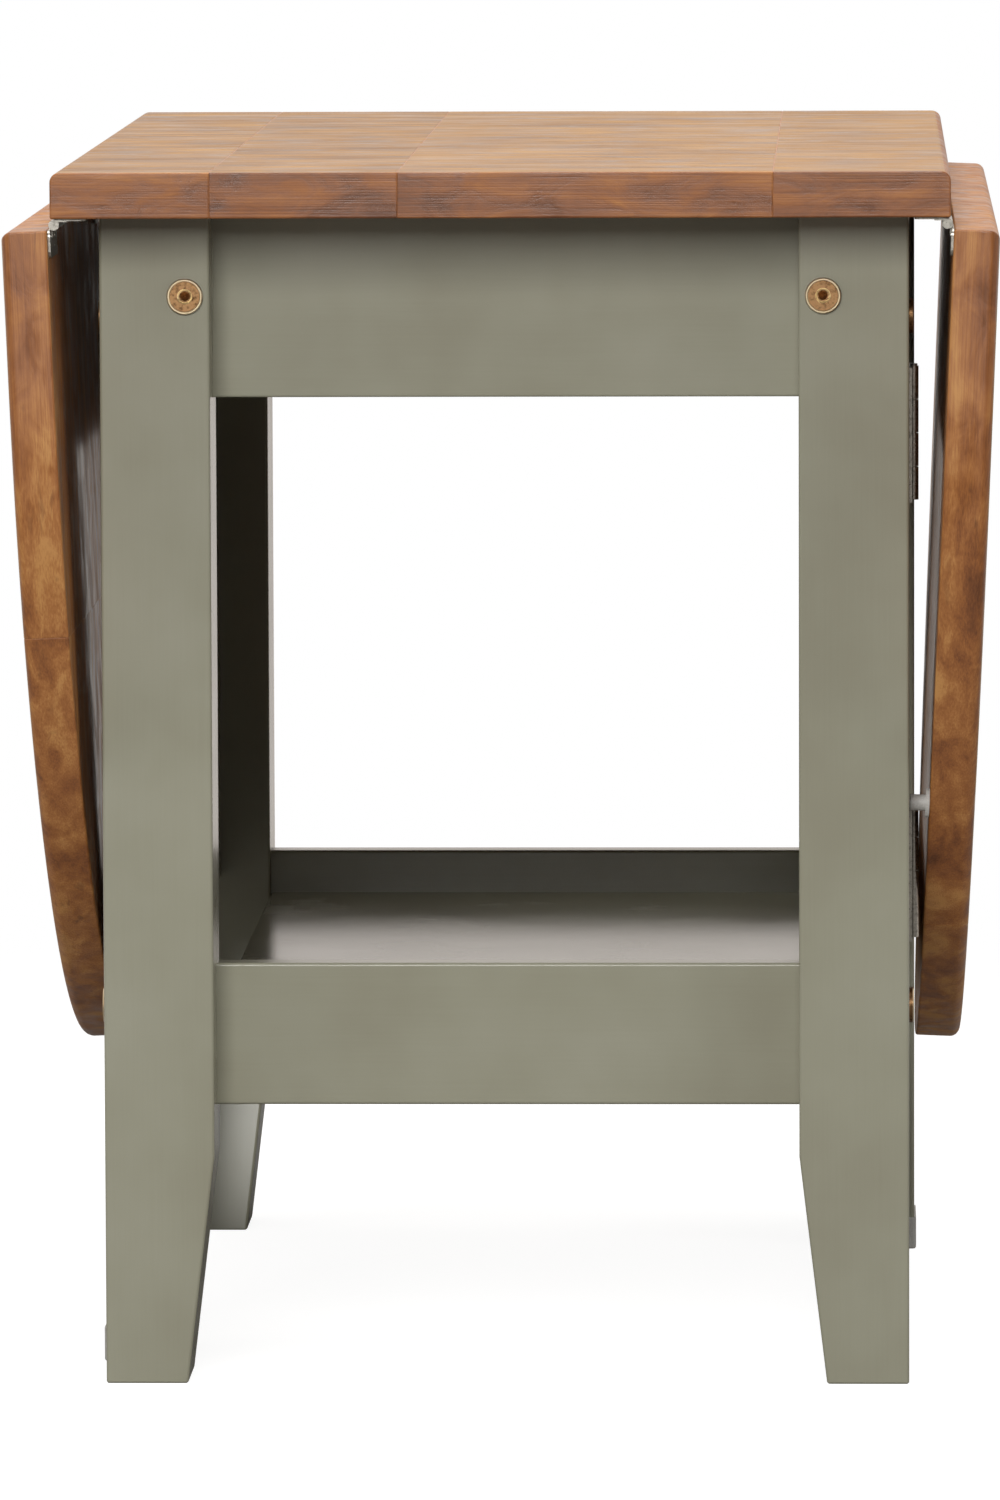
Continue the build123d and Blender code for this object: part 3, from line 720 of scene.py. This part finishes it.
def makeBolts():
    radius = boltSize["Head Radius"] * mm
    height = boltSize["Head Height"] * mm
    tree = boltTree()
    sets = (("end_face_bolts", "legEndBolts", (0, 1)), ("apron_bolts", "apronBolts", (1, 0)),
            ("stretcher_bolts", "stretcherBolts", (1, 0)))
    for node, name, way in sets:
        low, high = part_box(node)
        x = high[0] - (height if way[0] else radius)
        y = high[1] - (height if way[1] else radius)
        middle = (low[2] + high[2]) / 2
        places = fourCorners(x, y, middle, way)
        grow(name, places, tree, boltSize, "frame", "yellow_zinc", node)


def screwPlaces(node, undo):  # each screw's head, way and sizes, read from the node's separate solids
    mesh = bmesh.new()
    mesh.from_mesh(nodes[node].data)
    mesh.transform(undo)
    bmesh.ops.remove_doubles(mesh, verts=mesh.verts, dist=1e-6)
    left, found = set(mesh.verts), []
    while left:
        solid, edge = set(), [left.pop()]
        while edge:
            vert = edge.pop()
            solid.add(vert)
            near = {e.other_vert(vert) for e in vert.link_edges} & left
            left -= near
            edge += near
        spots = [v.co.copy() for v in solid]
        low = [min(s[n] for s in spots) for n in range(3)]
        high = [max(s[n] for s in spots) for n in range(3)]
        axis = max(range(3), key=lambda n: high[n] - low[n])
        across = (axis + 1) % 3
        middle = [(a + b) / 2 for a, b in zip(low, high)]
        reach = {end: max(abs(s[across] - middle[across]) for s in spots if abs(s[axis] - end) < 1e-5)
                 for end in (low[axis], high[axis])}
        head, tip = sorted(reach, key=reach.get, reverse=True)
        middle[axis] = head
        way = [0, 0, 0]
        way[axis] = 1 if head > tip else -1
        found.append((Vector(middle), Vector(way), reach[head], reach[tip], abs(head - tip)))
    mesh.free()
    return found


def makeScrews():
    tree = screwTree()
    for node in [n for n in nodes if n.endswith("_screws")]:
        placed = Matrix.Identity(4)
        if "_leaf_" in node:
            placed = hang if node.startswith("right") else halfTurn @ hang
        found = screwPlaces(node, placed.inverted())
        places = [(placed @ spot, placed.to_3x3() @ way) for spot, way, *rest in found]
        head, shank, length = (size / mm for size in found[0][2:])
        sizes = {"Head Radius": head, "Shank Radius": shank, "Length": length, **screwSize}
        body = next(b for b, names in frame["record"]["behaviour"]["bodies"].items() if node in names)
        words = node.split("_")
        name = words[0] + "".join(word.capitalize() for word in words[1:])
        grow(name, places, tree, sizes, body, "zinc_steel", node)


makeBolts()
makeScrews()
print("bolts and screws ready")
